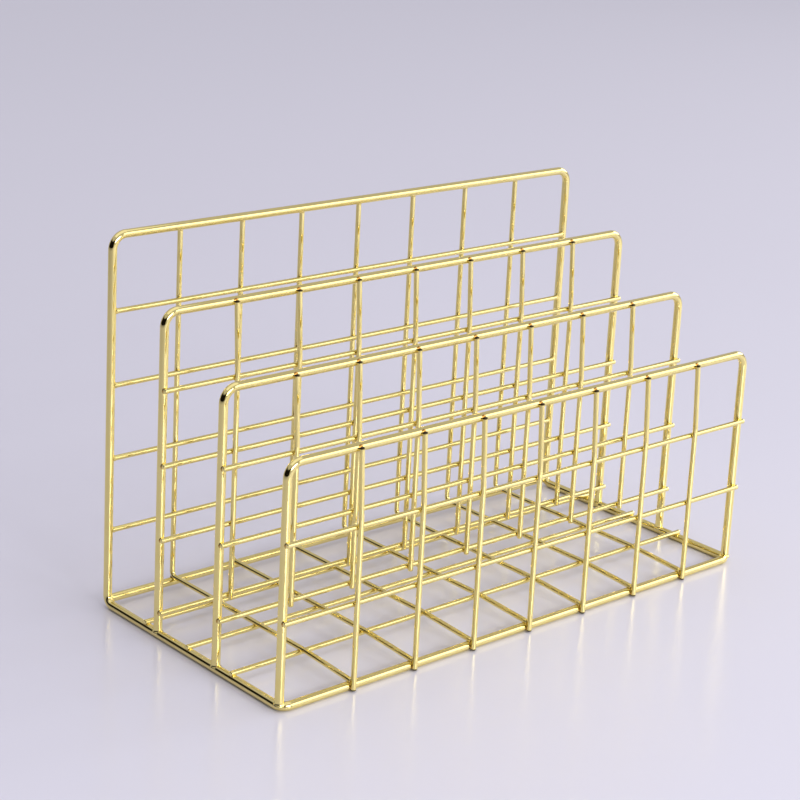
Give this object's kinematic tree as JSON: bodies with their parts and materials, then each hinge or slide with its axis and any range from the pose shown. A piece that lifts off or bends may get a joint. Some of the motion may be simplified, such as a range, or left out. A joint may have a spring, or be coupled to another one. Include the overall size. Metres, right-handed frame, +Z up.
{
  "type": "wire book rack",
  "caption": "Free-standing wire book rack with panels that step down from back to front, a mesh floor and slots between them for books and papers.",
  "frame": {"origin": "on the desk, under the middle of the rack", "axes": "+X along the panels, +Y from the low front panel to the high back panel, +Z up"},
  "size_m": [0.3244, 0.1532, 0.201],
  "materials": {
    "gold_wire": "mirror-bright pale gold electroplate over steel wire"
  },
  "bodies": {
    "root": {"main_frame": "gold_wire", "rear_divider_frame": "gold_wire", "front_divider_frame": "gold_wire", "front_frame": "gold_wire", "lower_back_rail": "gold_wire", "back_cross_wire_1": "gold_wire", "back_cross_wire_2": "gold_wire", "back_cross_wire_3": "gold_wire", "back_cross_wire_4": "gold_wire", "rear_divider_cross_wire_1": "gold_wire", "rear_divider_cross_wire_2": "gold_wire", "rear_divider_cross_wire_3": "gold_wire", "rear_divider_cross_wire_4": "gold_wire", "front_divider_cross_wire_1": "gold_wire", "front_divider_cross_wire_2": "gold_wire", "front_divider_cross_wire_3": "gold_wire", "front_cross_wire_1": "gold_wire", "front_cross_wire_2": "gold_wire", "back_floor_wire_1": "gold_wire", "back_floor_wire_2": "gold_wire", "back_floor_wire_3": "gold_wire", "back_floor_wire_4": "gold_wire", "back_floor_wire_5": "gold_wire", "back_floor_wire_6": "gold_wire", "back_floor_wire_7": "gold_wire", "rear_divider_upright_1": "gold_wire", "rear_divider_upright_2": "gold_wire", "rear_divider_upright_3": "gold_wire", "rear_divider_upright_4": "gold_wire", "rear_divider_upright_5": "gold_wire", "rear_divider_upright_6": "gold_wire", "rear_divider_upright_7": "gold_wire", "front_divider_upright_1": "gold_wire", "front_divider_upright_2": "gold_wire", "front_divider_upright_3": "gold_wire", "front_divider_upright_4": "gold_wire", "front_divider_upright_5": "gold_wire", "front_divider_upright_6": "gold_wire", "front_divider_upright_7": "gold_wire", "front_upright_1": "gold_wire", "front_upright_2": "gold_wire", "front_upright_3": "gold_wire", "front_upright_4": "gold_wire", "front_upright_5": "gold_wire", "front_upright_6": "gold_wire", "front_upright_7": "gold_wire", "floor_cross_wire_1": "gold_wire", "floor_cross_wire_2": "gold_wire", "floor_cross_wire_3": "gold_wire"}
  },
  "joints": []
}
